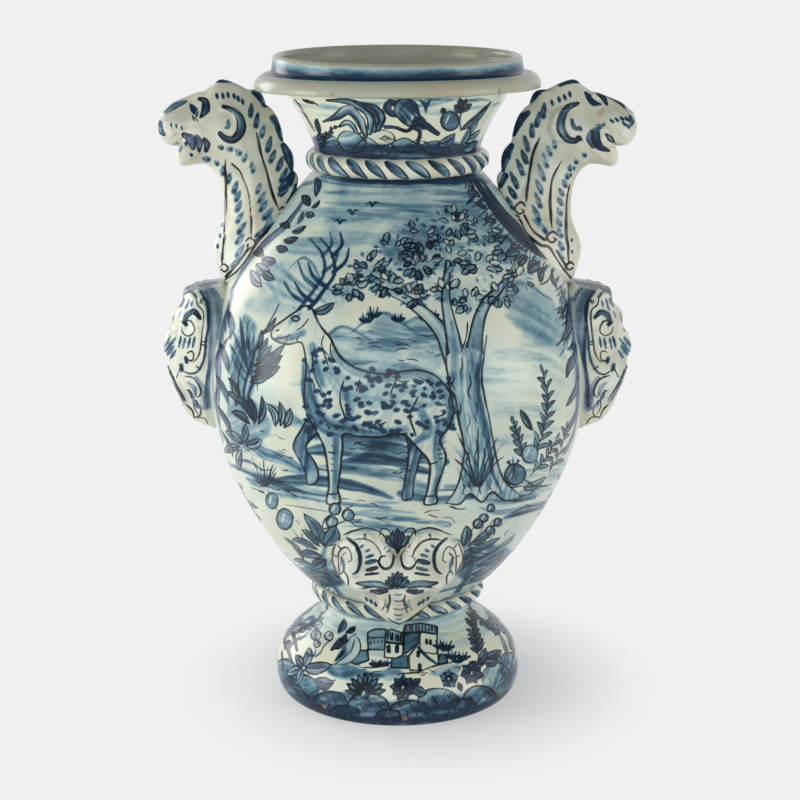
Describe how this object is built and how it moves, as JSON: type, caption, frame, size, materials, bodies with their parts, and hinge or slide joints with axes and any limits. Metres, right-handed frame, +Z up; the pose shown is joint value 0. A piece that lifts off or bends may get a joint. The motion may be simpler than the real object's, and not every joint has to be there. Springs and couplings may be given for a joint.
{
  "type": "two-handled glazed pottery vase",
  "caption": "Tall baluster vase of glazed pottery with a hollow spreading foot, rope rings, a flanged rim, beast-head handles and grotesque masks on the belly.",
  "frame": {"origin": "middle of the foot's underside, on the surface that the vase stands on", "axes": "+Z up through the mouth; the front mask faces -Y; the two handles lie along -X and +X"},
  "size_m": [0.4516, 0.3638, 0.62],
  "materials": {
    "painted_glaze": "glossy tin glaze, painted in cobalt blue with washes and dark outlines",
    "relief_glaze": "glossy tin glaze over moulded relief, picked out in cobalt blue",
    "rim_glaze": "glossy tin glaze with a blue band, small chips and pinholes at the edges"
  },
  "bodies": {
    "root": {"foot": "painted_glaze", "lower_rope_ring": "relief_glaze", "lower_belly": "painted_glaze", "upper_belly": "painted_glaze", "neck": "painted_glaze", "neck_rope_ring": "relief_glaze", "rim": "rim_glaze", "left_handle": "relief_glaze", "right_handle": "relief_glaze", "left_mask": "relief_glaze", "right_mask": "relief_glaze", "front_mask": "relief_glaze", "back_mask": "relief_glaze"}
  },
  "joints": []
}
